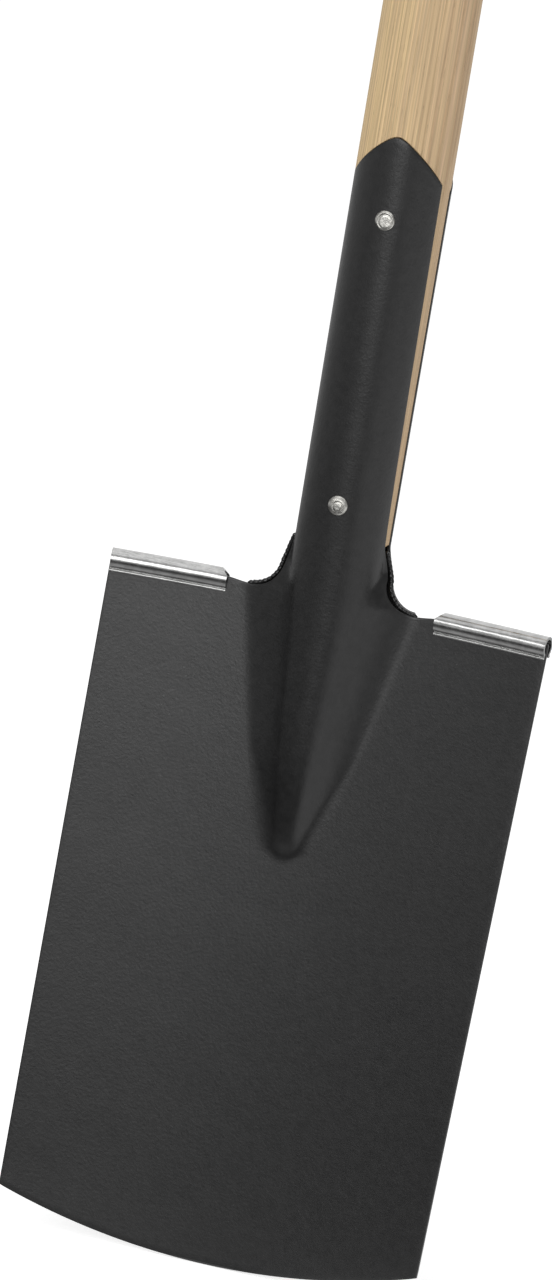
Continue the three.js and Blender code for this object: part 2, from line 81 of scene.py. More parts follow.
# A raised crown is sunk by a step, so that it meets the sheet at a slope, and that foot is rounded over a
# softness. Both grow with the fillet by these shares, and at the frog's nose by a length as well. The crest is
# lifted by the step again, less so below LOW_CREST.
FOOT_SOFTNESS = 0.012
FOOT_STEP = 0.01
NOSE_SOFTNESS = 3 * MM
LOW_CREST = 3 * MM

# The wide fillet tightens to the neck's between two heights: lower on the rear strap, so that it keeps to the
# weld, than on the front sheet, which runs smoothly from strap to shoulder.
NECK_FILLET = 4 * MM
NECK_TURN = (-1 * MM, 15 * MM)
REAR_NECK_TURN = (-14 * MM, 2 * MM)

# Straps and neck
STRAP_SHEET = 1.6 * MM
STRAP_STAND = 0.5 * MM
STRAP_FLARE = 0.0045
SEAM_HEIGHT = 24 * MM
FRONT_CORNER_HEIGHT = 178 * MM
FRONT_POINT_HEIGHT = 195.5 * MM
REAR_CORNER_HEIGHT = 175 * MM
REAR_POINT_HEIGHT = 192 * MM
POINT_ROUNDING = 0.16
FRONT_SEAM_ANGLE = radians(77)
FRONT_TOP_ANGLE = radians(66)
REAR_ANGLE = radians(88)
NECK_SPREAD = 3.6 * MM
SHOULDER_FILLET = 12 * MM
SHEET_STEP = 1.2 * MM
NECK_BOW = 0.0087 / MM
TONGUE_LENGTH = 120 * MM
TONGUE_TIP_HALF_WIDTH = 14 * MM
REAR_HOLLOW_LENGTH = 92 * MM
REAR_TIP_FILLET = 14 * MM
SHEET_GAP = 0.5 * MM
RIM_ROUNDING = 0.45 * MM

# Treads
TREAD_LENGTH = 49.4 * MM
TREAD_SETBACK = 0.1 * MM
TREAD_RADIUS = 4.5 * MM
TREAD_WALL = 1.2 * MM
TREAD_RISE = 3 * MM
TREAD_LIP = 0.5 * MM
TREAD_LIP_FLARE = 0.6 * MM
TREAD_CHAMFER = 3 * MM

# Shaft, grip and fastenings
SHAFT_RADIUS = 20.2 * MM
SHAFT_TOP_RADIUS = 16 * MM
STRAIGHT_UP_TO = 330 * MM
SHAFT_END_DEPTH = 84 * MM
SHAFT_END_SQUEEZE = 0.85
GRIP_LENGTH = 130 * MM
GRIP_RADIUS = 17 * MM
GRIP_END_RADIUS = 13.5 * MM
GRIP_END_ROUNDING = 4 * MM
TENON_RADIUS = 11 * MM
WEDGE_WIDTH = 17 * MM
WEDGE_DEPTH = 20 * MM
WEDGE_TOP = 3 * MM
WEDGE_TIP = 1 * MM
PIN_RADIUS = 1.75 * MM
RIVET_HEIGHTS = {"upper_rivet": 161 * MM, "lower_rivet": 41.1 * MM}
RIVET_RADIUS = 3 * MM
RIVET_HEAD_RADIUS = 4.2 * MM
RIVET_HEAD_HEIGHT = 1.7 * MM
RIVET_FINISHES = {
    "upper_rivet": {"Flattened at": 0.62, "Dents": 0.14, "Ring radius": 0.70, "Ring depth": 0.22, "Seed": 4},
    "lower_rivet": {"Flattened at": 0.92, "Dents": 0.12, "Ring radius": 0.50, "Ring depth": 0.14, "Seed": 9},
}
CLEARANCE = 0.3 * MM
SEAT_CLEARANCE = 0.7 * MM
TIGHT_FIT = 0.12 * MM
TENON_BELOW_GRIP = 8 * MM
TENON_ABOVE_GRIP = 5 * MM
WOOD_CREASE = radians(35)
TUBE_CREASE = radians(50)

# Welds: a bead on the step between the sheets' edges. It comes forward with the front sheet's lifted rim.
WELD_RADIUS = 1.125 * MM
WELD_FORWARD = 1.08 * MM
WELD_MOST_LIFT = 2.4 * MM
WELD_SINK = 0.5 * MM
WELD_PAST_FILLET = 1.5 * MM
WELD_DROP = 2.1 * MM
WELD_UNEVENNESS = 0.35 * MM

# Studio. Azimuths and elevations of lamps and cards are in degrees, distances in metres.
CAMERA_AZIMUTH = radians(13.24)
CAMERA_ELEVATION = radians(10)
CAMERA_ROLL = radians(9.39)
CAMERA_LENS = 202
CAMERA_DISTANCE = 3.0
CAMERA_AIM = (-21.3 * MM, 0, -823 * MM)
FLOOR_REACH = 120.0
FLOOR_GLOW = 0.6
WORLD_LIGHT = 0.55
CLOTH_DARK = 0.05
CLOTH_FOOT = 0.4
CLOTH_LIGHT = 0.9
CLOTH_REACH = (0.02, 9.0)
CLOTH_DARKENS = (0.12, 0.45)
CLOTH_FADES = (0.7, 9.0)
CLOTH_LIGHT_FROM = (18, 50)
CLOTH_LIGHT_TO = (120, 160)
CARD_EDGE = 6.0

neck_radius = SHAFT_RADIUS + STRAP_STAND - STRAP_FLARE * FRONT_CORNER_HEIGHT
fillet_centre = neck_radius + NECK_SPREAD + SHOULDER_FILLET
lean_slope = tan(LEAN)
shoulder_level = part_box("blade")[1].z - FRONT_POINT_HEIGHT
grip_height = sum(corner.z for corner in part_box("grip")) / 2 - shoulder_level


def mix(a, b, share):
    return a + (b - a) * share


def smooth(value, start, end):
    share = np.clip((value - start) / (end - start), 0, 1)
    return share * share * (3 - 2 * share)


# ---- Making pieces ----

def add_object(name, data):
    thing = bpy.data.objects.new(name, data)
    bpy.context.scene.collection.objects.link(thing)
    return thing


def new_piece(name, points, faces, material):
    """A mesh piece whose place is in its points, lowered from the shoulders' level into the frame."""
    mesh = bpy.data.meshes.new(name)
    placed = np.asarray(points, float) + (0, 0, shoulder_level)
    mesh.from_pydata(placed.tolist(), [], [list(map(int, face)) for face in faces])
    mesh.validate()
    mesh.shade_smooth()
    mesh.materials.append(material)
    return add_object(name, mesh)


def bake(piece):
    """Replaces a piece's mesh by its evaluated one and drops its modifiers."""
    evaluated = piece.evaluated_get(bpy.context.evaluated_depsgraph_get())
    mesh = bpy.data.meshes.new_from_object(evaluated)
    piece.modifiers.clear()
    piece.data = mesh
    return piece


def combine(piece, tool, operation):
    """Cuts a tool out of a piece, or joins or keeps what is common, and removes the tool."""
    boolean = piece.modifiers.new(operation.lower(), "BOOLEAN")
    boolean.operation = operation
    boolean.object = tool
    boolean.solver = "EXACT"
    bake(piece)
    bpy.data.objects.remove(tool)
    return piece


def crease(piece, angle):
    """Smooth shading everywhere but along edges sharper than the angle."""
    piece.data.shade_smooth()
    piece.data.set_sharp_from_angle(angle=angle)


def stands_for(piece, node):
    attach(piece, "root")
    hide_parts(node)


def lofted(rings):
    """Faces that join equal rings of points in order, with one face across each end."""
    count = len(rings[0])
    faces = []
    for ring in range(len(rings) - 1):
        for k in range(count):
            a = ring * count + k
            b = ring * count + (k + 1) % count
            faces.append((a, b, b + count, a + count))
    faces.append(tuple(reversed(range(count))))
    faces.append(tuple(range((len(rings) - 1) * count, len(rings) * count)))
    return np.concatenate(rings), faces


# ---- The two sheets' shared shape ----

def strap_radius(z):
    return neck_radius + STRAP_FLARE * np.maximum(z, 0)


def neck_bow(z):
    return NECK_BOW * np.maximum(z, 0) ** 2


def base_face(x, z):
    """The blade's face where nothing is raised from it."""
    dish = x**2 / (2 * DISH_RADIUS) * (1 - smooth(z, 0, SEAM_HEIGHT))
    return -FACE_OFFSET + lean_slope * z - neck_bow(z) - dish


def crown_height(x, crest, radius, fillet, softness=0.0):
    """A section's height over its base: a round crown, its fillet and a quick turn at the foot."""
    softness = FOOT_SOFTNESS * fillet + softness
    step = FOOT_STEP * fillet + softness
    crest = np.maximum(crest, 1e-9)
    crest = crest + step * smooth(crest, 0, LOW_CREST)
    foot = np.sqrt(crest * (2 * (radius + fillet) - crest))
    turn = foot * radius / (radius + fillet)
    across = np.abs(x)
    run_out = fillet - np.sqrt(np.maximum(fillet**2 - (foot - across) ** 2, 0))
    crown = crest - radius + np.sqrt(np.maximum(radius**2 - across**2, 0))
    height = np.where(across >= foot, 0, np.where(across > turn, run_out, crown)) - step
    rising = np.clip(height + softness, 0, None) ** 2 / (4 * softness)
    return np.where(np.abs(height) < softness, rising, np.maximum(height, 0))


def frog_section(z):
    """The front sheet's crest, crown radius, fillet and added softness at a height."""
    depth = np.maximum(-z, 0)
    share = np.minimum(depth / FROG_LENGTH, 1)
    root_crest = neck_radius - FACE_OFFSET
    nose_bend = (root_crest - lean_slope * FROG_LENGTH) / NOSE_LENGTH**2
    lowered = nose_bend * np.maximum(depth - (FROG_LENGTH - NOSE_LENGTH), 0) ** 2
    crest = strap_radius(z) - FACE_OFFSET + lean_slope * z - neck_bow(z) - lowered
    radius = mix(strap_radius(z), NOSE_RADIUS, share)
    run_out = mix(FROG_ROOT_FILLET, FROG_TIP_FILLET, share)
    fillet = mix(run_out, NECK_FILLET, smooth(z, *NECK_TURN))
    softness = NOSE_SOFTNESS * smooth(depth, FROG_LENGTH - NOSE_LENGTH, FROG_LENGTH)
    return crest, radius, fillet, softness


def rear_section(z):
    """The rear strap's crest over its flange, crown radius and fillet at a height."""
    blade_back = -FACE_OFFSET + BLADE_SHEET + SHEET_GAP + STRAP_SHEET
    root_crest = strap_radius(z) - blade_back - lean_slope * z + neck_bow(z)
    share = np.clip((SEAM_HEIGHT - z) / (SEAM_HEIGHT + REAR_HOLLOW_LENGTH), 0, 1)
    radius = mix(strap_radius(z), NOSE_RADIUS, share)
    run_out = mix(FROG_ROOT_FILLET, REAR_TIP_FILLET, share)
    fillet = mix(run_out, NECK_FILLET, smooth(z, *REAR_NECK_TURN))
    return root_crest * (1 - share**1.6), radius, fillet


def blade_face(x, z):
    return base_face(x, z) - crown_height(x, *frog_section(z))


def rear_face(x, z):
    flange = base_face(x, z) + BLADE_SHEET + SHEET_GAP + STRAP_SHEET
    return flange + crown_height(x, *rear_section(z))


def neck_top(x, inset, seam_half_width, trim):
    """The sheet's upper edge: along the shoulder, a concave fillet, then the neck's taper up to the seam."""
    radius = SHOULDER_FILLET + inset + trim
    fillet_end = fillet_centre - radius
    shoulder = -trim - inset * (1 - smooth(x - fillet_centre, 0, SHOULDER_FILLET))
    fillet = SHOULDER_FILLET - np.sqrt(radius**2 - np.clip(fillet_centre - x, 0, radius) ** 2)
    taper = mix(SEAM_HEIGHT, SHOULDER_FILLET, (x - seam_half_width) / (fillet_end - seam_half_width))
    return np.where(x >= fillet_centre, shoulder, np.where(x > fillet_end, fillet, taper))


def wing_places(plan, seam_half_width, outer, trim):
    """Where the wing's columns meet the upper edge, evenly round the taper, the fillet and the shoulder."""
    radius = SHOULDER_FILLET + plan.inset + trim
    taper = np.linspace(seam_half_width, fillet_centre - radius, 9)[:-1]
    fillet = fillet_centre - radius * np.cos(np.linspace(0, pi / 2, 25))
    shoulder = mix(fillet_centre, outer, np.linspace(0, 1, 33)[1:] ** 1.25)
    places = np.concatenate([taper, fillet, shoulder])
    places = places[places < outer - 0.4 * MM]
    return (np.append(places, outer) - seam_half_width) / (outer - seam_half_width)


def sheet_grid(plan, trim=0.0, margin=0.0):
    """A sheet's outer face as rows of points: a left wing, a middle and a right wing up to the neck, and the
    strap above it. Trim takes that much off all round; margin widens the strap."""
    seam_angle = plan.seam_angle - trim / neck_radius
    top_angle = plan.top_angle - trim / neck_radius
    corner = plan.corner - 0.4 * trim
    point = plan.point - 1.4 * trim
    seam_half_width = strap_radius(SEAM_HEIGHT) * sin(seam_angle)
    outer = plan.half(1.0) - trim
    wing = wing_places(plan, seam_half_width, outer, trim)[1:]
    share = np.linspace(-1, 1, plan.middle_steps + 1)
    rows = []
    for k in np.linspace(0, 1, plan.lower_steps + 1):
        rise = 1 - (1 - k) * (0.4 + 0.6 * (1 - k))
        across = np.sin(share * seam_angle) / sin(seam_angle)
        x = mix(plan.middle_at_edge, seam_half_width, rise) * across
        z = mix(plan.edge(plan.middle_at_edge * across) + trim, SEAM_HEIGHT, rise)
        wing_x = mix(x[-1], plan.half(rise) - trim, wing)
        at_edge = mix(plan.middle_at_edge, plan.half(0.0) - trim, wing)
        at_top = mix(seam_half_width, outer, wing)
        top = neck_top(at_top, plan.inset, seam_half_width, trim)
        wing_z = mix(plan.edge(at_edge) + trim, top, rise)
        row_x = np.concatenate([-wing_x[::-1], x, wing_x])
        row_z = np.concatenate([wing_z[::-1], z, wing_z])
        rows.append(np.stack([row_x, plan.face(row_x, row_z), row_z], 1))
    absent = np.full((len(wing), 3), np.nan)
    across = np.hypot(share, POINT_ROUNDING) - POINT_ROUNDING
    tip = mix(point, corner, across / (hypot(1, POINT_ROUNDING) - POINT_ROUNDING)) + margin
    for rise in np.linspace(0, 1, plan.strap_steps + 1):
        z = mix(SEAM_HEIGHT, corner, rise) + (tip - corner) * rise**4
        height = np.clip((z - SEAM_HEIGHT) / (corner - SEAM_HEIGHT), 0, 1)
        angle = share * (mix(seam_angle, top_angle, np.sqrt(height)) + margin / neck_radius)
        radius = strap_radius(z)
        strap = np.stack([radius * np.sin(angle), plan.facing * radius * np.cos(angle), z], 1)
        rows.append(np.concatenate([absent, strap, absent]))
    if margin:
        return np.stack(rows[-plan.strap_steps - 1:])[:, len(wing):-len(wing)]
    del rows[plan.lower_steps + 1]
    return np.stack(rows)


def grid_quads(grid):
    """Corner numbers of every whole quad of a grid, anticlockwise seen from -Y."""
    there = ~np.isnan(grid[..., 0])
    whole = there[:-1, :-1] & there[:-1, 1:] & there[1:, 1:] & there[1:, :-1]
    rows, columns = np.nonzero(whole)
    width = grid.shape[1]
    first = rows * width + columns
    return np.stack([first, first + 1, first + 1 + width, first + width], 1)


def grid_normals(points, quads):
    a, b, c, d = (points[quads[:, k]] for k in range(4))
    across = np.cross(c - a, d - b)
    normals = np.zeros_like(points)
    for k in range(4):
        np.add.at(normals, quads[:, k], across)
    return normals / np.maximum(np.linalg.norm(normals, axis=1, keepdims=True), 1e-12)


def sheet_piece(name, grid, thickness, facing, rounding, material):
    """A closed sheet of even thickness whose whole rim is rounded. Facing is -1 when the grid is its front."""
    quads = grid_quads(grid)
    points = np.nan_to_num(grid.reshape(-1, 3))
    normals = grid_normals(points, quads)
    front = points if facing < 0 else points + normals * thickness
    edges = {}
    for k in range(4):
        for start, end in zip(quads[:, k].tolist(), quads[:, (k + 1) % 4].tolist()):
            if edges.get(end) and start in edges[end]:
                edges[end].discard(start)
            else:
                edges.setdefault(start, set()).add(end)
    follow = {start: next(iter(ends)) for start, ends in edges.items() if ends}
    loop = [next(iter(follow))]
    while follow[loop[-1]] != loop[0]:
        loop.append(follow[loop[-1]])
    loop = np.array(loop)
    along = front[np.roll(loop, -1)] - front[np.roll(loop, 1)]
    outward = np.cross(along, normals[loop])
    outward /= np.linalg.norm(outward, axis=1, keepdims=True)
    turns = [radians(angle) for angle in (22.5, 45, 67.5, 90)]
    steps = [(rounding * sin(t), rounding * (1 - cos(t))) for t in turns]
    steps += [(out, thickness - depth) for out, depth in reversed(steps)]
    count = len(points)
    rings = [loop]
    vertices = [front, front - normals * thickness]
    for number, (out, depth) in enumerate(steps):
        vertices.append(front[loop] + outward * out - normals[loop] * depth)
        rings.append(2 * count + number * len(loop) + np.arange(len(loop)))
    rings.append(loop + count)
    faces = [quads, quads[:, ::-1] + count]
    for upper, lower in zip(rings[:-1], rings[1:]):
        faces.append(np.stack([np.roll(upper, -1), upper, lower, np.roll(lower, -1)], 1))
    faces = np.concatenate(faces)
    vertices = np.concatenate(vertices)
    used, numbers = np.unique(faces, return_inverse=True)
    return new_piece(name, vertices[used], numbers.reshape(faces.shape), material)


edge_radius = ((EDGE_WIDTH / 2) ** 2 + EDGE_BOW**2) / (2 * EDGE_BOW)

blade_plan = SimpleNamespace(
    facing=-1,
    face=blade_face,
    seam_angle=FRONT_SEAM_ANGLE,
    top_angle=FRONT_TOP_ANGLE,
    corner=FRONT_CORNER_HEIGHT,
    point=FRONT_POINT_HEIGHT,
    inset=SHEET_STEP,
    middle_at_edge=neck_radius,
    middle_steps=72,
    lower_steps=170,
    strap_steps=90,
    edge=lambda x: -cos(LEAN) * (BLADE_LENGTH - edge_radius + np.sqrt(edge_radius**2 - x**2)),
    half=lambda rise: mix(EDGE_WIDTH, SHOULDER_WIDTH, rise) / 2,
)
rear_plan = SimpleNamespace(
    facing=1,
    face=rear_face,
    seam_angle=REAR_ANGLE,
    top_angle=REAR_ANGLE,
    corner=REAR_CORNER_HEIGHT,
    point=REAR_POINT_HEIGHT,
    inset=0,
    middle_at_edge=TONGUE_TIP_HALF_WIDTH * 0.6,
    middle_steps=72,
    lower_steps=110,
    strap_steps=90,
    edge=lambda x: -TONGUE_LENGTH + 8 * MM * (x / TONGUE_TIP_HALF_WIDTH) ** 2,
    half=lambda rise: mix(TONGUE_TIP_HALF_WIDTH, fillet_centre, np.sin(rise * pi / 2)),
)


# ---- Materials ----

class Nodes:
    """A short way to add nodes to a tree: values and links go in by socket name or number."""

    def __init__(self, tree):
        self.tree = tree

    def add(self, kind, inputs=None, **settings):
        node = self.tree.nodes.new(kind)
        for key, value in settings.items():
            setattr(node, key, value)
        for key, value in (inputs or {}).items():
            socket = node.inputs[key]
            if isinstance(value, bpy.types.NodeSocket):
                self.tree.links.new(value, socket)
            else:
                socket.default_value = value
        return node

    def math(self, operation, a, b=0.0, clamp=False):
        return self.add("ShaderNodeMath", {0: a, 1: b}, operation=operation, use_clamp=clamp).outputs[0]

    def noise(self, vector, scale, detail=2.0, roughness=0.5):
        inputs = {"Vector": vector, "Scale": scale, "Detail": detail, "Roughness": roughness}
        return self.add("ShaderNodeTexNoise", inputs).outputs["Fac"]

    def ramp(self, factor, stops):
        node = self.add("ShaderNodeValToRGB", {"Fac": factor})
        elements = node.color_ramp.elements
        while len(elements) < len(stops):
            elements.new(0.5)
        for element, (place, colour) in zip(elements, stops):
            element.position = place
            element.color = (*colour, 1)
        return node.outputs["Color"]

    def vector_math(self, operation, a, b):
        return self.add("ShaderNodeVectorMath", {0: a, 1: b}, operation=operation).outputs[0]

    def measured(self, operation, a, b):
        """The distance between two vectors, or their dot product."""
        return self.add("ShaderNodeVectorMath", {0: a, 1: b}, operation=operation).outputs["Value"]

    def scaled(self, vector, amount):
        return self.add("ShaderNodeVectorMath", {0: vector, 3: amount}, operation="SCALE").outputs[0]

    def object_place(self):
        return self.add("ShaderNodeTexCoord").outputs["Object"]

    def spread(self, factor, low, high):
        return self.add("ShaderNodeMapRange", {"Value": factor, "To Min": low, "To Max": high}).outputs[0]

    def stretched(self, vector, scale, turn=(0, 0, 0)):
        inputs = {"Vector": vector, "Rotation": turn, "Scale": scale}
        return self.add("ShaderNodeMapping", inputs).outputs[0]

    def bump(self, height, depth, normal=None):
        inputs = {"Height": height, "Distance": depth, "Strength": 1.0}
        if normal:
            inputs["Normal"] = normal
        return self.add("ShaderNodeBump", inputs).outputs[0]


def new_material(name):
    material = bpy.data.materials.new(name)
    material.use_nodes = True
    material.node_tree.nodes.clear()
    return material, Nodes(material.node_tree)


def finish_material(nodes, inputs):
    shader = nodes.add("ShaderNodeBsdfPrincipled", inputs)
    nodes.add("ShaderNodeOutputMaterial", {"Surface": shader.outputs[0]})


def black_enamel(name, smoothest, roughest):
    """Stoved black enamel: a fine orange-peel skin over softly uneven steel."""
    material, nodes = new_material(name)
    place = nodes.object_place()
    skin = nodes.noise(place, 800, 4, 0.6)
    waves = nodes.noise(place, 26, 1)
    cloud = nodes.noise(place, 260, 4, 0.7)
    colour = nodes.ramp(cloud, [(0.36, (0.0085, 0.0085, 0.0087)), (0.64, (0.0145, 0.0145, 0.0147))])
    peel = nodes.bump(skin, 0.085 * MM)
    normal = nodes.bump(waves, 0.25 * MM, peel)
    roughness = nodes.spread(nodes.noise(place, 420, 4, 0.6), smoothest, roughest)
    finish_material(nodes, {"Base Color": colour, "Roughness": roughness, "IOR": 1.55, "Normal": normal})
    return material


def drawn_steel():
    """Zinc-plated tube with the die's lines along it, dulled in spots by handling."""
    material, nodes = new_material("drawn_steel")
    place = nodes.object_place()
    lines = nodes.noise(nodes.stretched(place, (9, 2400, 2400)), 1, 3, 0.6)
    score = nodes.noise(nodes.stretched(place, (12, 620, 620)), 1, 2, 0.5)
    dents = nodes.noise(place, 210, 3, 0.6)
    tone = nodes.math("MULTIPLY", nodes.math("ADD", lines, dents), 0.5)
    colour = nodes.ramp(tone, [(0.36, (0.42, 0.42, 0.415)), (0.62, (0.64, 0.64, 0.635))])
    normal = nodes.bump(dents, 0.06 * MM, nodes.bump(score, 0.035 * MM, nodes.bump(lines, 0.014 * MM)))
    roughness = nodes.spread(dents, 0.13, 0.30)
    finish_material(nodes, {
        "Base Color": colour, "Metallic": 1.0, "Roughness": roughness, "Normal": normal,
    })
    return material


def hammered_steel():
    """Plated rivet steel, scuffed by the set."""
    material, nodes = new_material("hammered_steel")
    place = nodes.object_place()
    scuffs = nodes.noise(place, 1300, 4, 0.65)
    grime = nodes.noise(place, 480, 3, 0.6)
    colour = nodes.ramp(grime, [(0.36, (0.46, 0.45, 0.42)), (0.62, (0.78, 0.77, 0.73))])
    roughness = nodes.spread(scuffs, 0.2, 0.42)
    finish_material(nodes, {
        "Base Color": colour, "Metallic": 1.0, "Roughness": roughness,
        "Normal": nodes.bump(scuffs, 0.07 * MM),
    })
    return material


def ash_wood(name, turn, pith, ring_width, tone=1.0):
    """Oiled ash: growth rings round a far pith, straw and rosy bands, a painted shade that darkens the grain's
    +X side, fine fibres and short open pores.
    Turn brings the grain's direction onto Z."""
    material, nodes = new_material(name)
    place = nodes.object_place()
    grain = nodes.stretched(place, (1, 1, 1), turn)
    drift = nodes.noise(nodes.stretched(grain, (20, 20, 1.5)), 1, 1)
    waver = nodes.noise(nodes.stretched(grain, (150, 150, 6)), 1, 2)
    flat = nodes.vector_math("MULTIPLY", grain, (1, 1, 0))
    distance = nodes.measured("DISTANCE", flat, pith)
    rings = nodes.math("DIVIDE", distance, ring_width)
    rings = nodes.math("ADD", rings, nodes.math("MULTIPLY", drift, 2.0))
    rings = nodes.math("ADD", rings, nodes.math("MULTIPLY", waver, 1.6))
    phase = nodes.math("FRACT", rings)
    late, middle, early = (0.87, 0.81, 0.77), (1.05, 1.05, 1.05), (1.0, 0.99, 0.98)
    ring_tone = nodes.ramp(phase, [(0.0, late), (0.32, middle), (0.8, middle), (1.0, early)])
    bands = nodes.noise(nodes.stretched(grain, (420, 420, 5)), 1, 3, 0.6)
    # Painted shade: the tone turns darker and rosier towards the grain's +X (on the shaft its right side, away
    # from the key lamp); the bands are the wood's own random tone.
    painted_side_shade = nodes.math("MULTIPLY", nodes.add("ShaderNodeSeparateXYZ", {0: grain}).outputs["X"], -9.0)
    bands_and_painted_shade = nodes.math("ADD", bands, painted_side_shade)
    straw, rosy = (0.680, 0.497, 0.262), (0.630, 0.440, 0.268)
    body = nodes.ramp(bands_and_painted_shade, [(0.15, [c * tone for c in rosy]), (0.70, [c * tone for c in straw])])
    tinted = nodes.vector_math("MULTIPLY", body, ring_tone)
    fibres = nodes.noise(nodes.stretched(grain, (2300, 2300, 45)), 1, 3, 0.6)
    streaks = nodes.noise(nodes.stretched(grain, (1150, 1150, 12)), 1, 3, 0.6)
    shade = nodes.math("MULTIPLY", nodes.spread(fibres, 0.75, 1.25), nodes.spread(streaks, 0.45, 1.55))
    pores = nodes.noise(nodes.stretched(grain, (2900, 2900, 170)), 1, 1)
    soft_side = nodes.math("LESS_THAN", phase, 0.35)
    open_pore = nodes.math("MULTIPLY", nodes.math("GREATER_THAN", pores, 0.66), soft_side)
    shade = nodes.math("MULTIPLY", shade, nodes.spread(open_pore, 1.0, 0.76))
    colour = nodes.scaled(tinted, shade)
    height = nodes.math("SUBTRACT", fibres, open_pore)
    roughness = nodes.spread(streaks, 0.5, 0.64)
    finish_material(nodes, {
        "Base Color": colour, "Roughness": roughness, "Normal": nodes.bump(height, 0.03 * MM),
    })
    return material


enamel = black_enamel("black_enamel", 0.24, 0.36)
run_enamel = black_enamel("run_enamel", 0.05, 0.11)
tube_steel = drawn_steel()
rivet_steel = hammered_steel()
shaft_ash = ash_wood("shaft_ash", (0, 0, 0), (-0.10, 0.03, 0), 1.7 * MM)
grip_ash = ash_wood("grip_ash", (0, pi / 2, 0), (0.05, 0.09, 0), 2.1 * MM, 0.97)
wedge_ash = ash_wood("wedge_ash", (0, 0, 0), (0.02, 0.05, 0), 1.4 * MM, 0.86)


# ---- Blade and straps ----

def make_sheets():
    blade = sheet_piece(
        "enamelled_blade", sheet_grid(blade_plan, RIM_ROUNDING), BLADE_SHEET, -1, RIM_ROUNDING, enamel
    )
    stands_for(blade, "blade")
    strap = sheet_piece(
        "enamelled_rear_strap", sheet_grid(rear_plan, RIM_ROUNDING), STRAP_SHEET, 1, RIM_ROUNDING, enamel
    )
    stands_for(strap, "rear_strap")


# ---- Shaft ----

def seat_tool(plan, thickness):
    """The strap's own shape with a small clearance, and all outside it, to be cut out of the wood."""
    grid = sheet_grid(plan, margin=CLEARANCE)
    quads = grid_quads(grid)
    points = grid.reshape(-1, 3)
    normals = grid_normals(points, quads)
    inner = points + normals * plan.facing * (thickness + TIGHT_FIT)
    outer = points - normals * plan.facing * STRAP_STAND * 4
    front, back = (outer, inner) if plan.facing < 0 else (inner, outer)
    rows, columns = grid.shape[:2]
    numbers = np.arange(rows * columns).reshape(rows, columns)
    loop = np.concatenate([numbers[0, :-1], numbers[:-1, -1], numbers[-1, :0:-1], numbers[:0:-1, 0]])
    count = rows * columns
    rim = np.stack([np.roll(loop, -1), loop, loop + count, np.roll(loop, -1) + count], 1)
    faces = np.concatenate([quads, quads[:, ::-1] + count, rim])
    return new_piece("seat_tool", np.concatenate([front, back]), faces, enamel)


def shaft_ring(z):
    """The wood's outline at a height: a circle beside and above the straps, shaped to the hollow below them."""
    angle = np.linspace(0, 2 * pi, 192, endpoint=False)
    base = float(base_face(0.0, z))
    middle = base * float(smooth(-z, 0, SHAFT_END_DEPTH / 2))
    if z > SEAM_HEIGHT + 1 * MM:
        wood = min(SHAFT_RADIUS, float(strap_radius(z)) - STRAP_STAND)
        taper = np.clip((z - STRAIGHT_UP_TO) / (grip_height - STRAIGHT_UP_TO), 0, 1)
        radius = mix(wood, SHAFT_TOP_RADIUS, taper)
        return np.stack([radius * np.sin(angle), -radius * np.cos(angle), np.full_like(angle, z)], 1)
    front, rear = frog_section(z), rear_section(z)
    crown = min(front[1] - BLADE_SHEET, rear[1] - STRAP_SHEET) - SEAT_CLEARANCE
    across = crown * mix(1, SHAFT_END_SQUEEZE, float(smooth(-z, 0, SHAFT_END_DEPTH / 2)))
    forward = middle - (base - front[0]) - BLADE_SHEET - SEAT_CLEARANCE
    backward = base + BLADE_SHEET + SHEET_GAP + rear[0] - SEAT_CLEARANCE - middle
    reach = np.where(np.cos(angle) > 0, forward, backward)
    return np.stack([across * np.sin(angle), middle - reach * np.cos(angle), np.full_like(angle, z)], 1)


def grip_profile(extra=0.0):
    """Half of the grip's outline from its end's middle to its waist, as (radius, distance along)."""
    half = GRIP_LENGTH / 2
    flat = GRIP_END_RADIUS - GRIP_END_ROUNDING
    outline = [(0.0, half + extra), (flat * 0.5, half + extra)]
    for turn in np.linspace(0, pi / 2, 9):
        radius = flat + GRIP_END_ROUNDING * sin(turn) + extra
        outline.append((radius, half - GRIP_END_ROUNDING * (1 - cos(turn)) + extra))
    straight = half - GRIP_END_ROUNDING
    for along in np.linspace(straight, 0, 31)[1:]:
        radius = mix(GRIP_RADIUS, GRIP_END_RADIUS, (along / straight) ** 2) + extra
        outline.append((radius, float(along)))
    return outline


def turned(name, outline, centre, axis, material, sides=144):
    """A turned solid: an outline of (radius, distance along) from one end on the axis to the other."""
    angle = np.linspace(0, 2 * pi, sides, endpoint=False)
    axis = Vector(axis)
    turn = np.array(Vector((0, 0, 1)).rotation_difference(axis).to_matrix())
    rings = []
    for radius, along in outline[1:-1]:
        ring = np.stack([radius * np.cos(angle), radius * np.sin(angle), np.full_like(angle, along)], 1)
        rings.append(ring @ turn.T + centre)
    points, faces = lofted(rings)
    faces = faces[:-2]
    ends = np.array([[0, 0, outline[0][1]], [0, 0, outline[-1][1]]]) @ turn.T + centre
    first, last = len(points), len(points) + 1
    final = (len(rings) - 1) * sides
    for k in range(sides):
        faces.append((first, (k + 1) % sides, k))
        faces.append((last, final + k, final + (k + 1) % sides))
    return new_piece(name, np.concatenate([points, ends]), faces, material)


def upright(name, radius, start, end, material, extra_rings):
    """An upright cylinder between two heights."""
    stations = np.linspace(start, end, extra_rings + 2)
    outline = [(0, start), *((radius, float(place)) for place in stations), (0, end)]
    return turned(name, outline, (0, 0, 0), (0, 0, 1), material)


def grip_solid(name, material, extra=0.0):
    half = grip_profile(extra)
    outline = half[:-1] + [(radius, -along) for radius, along in reversed(half)]
    outline = [(radius, -along) for radius, along in outline]
    return turned(name, outline, (0, 0, grip_height), (1, 0, 0), material)


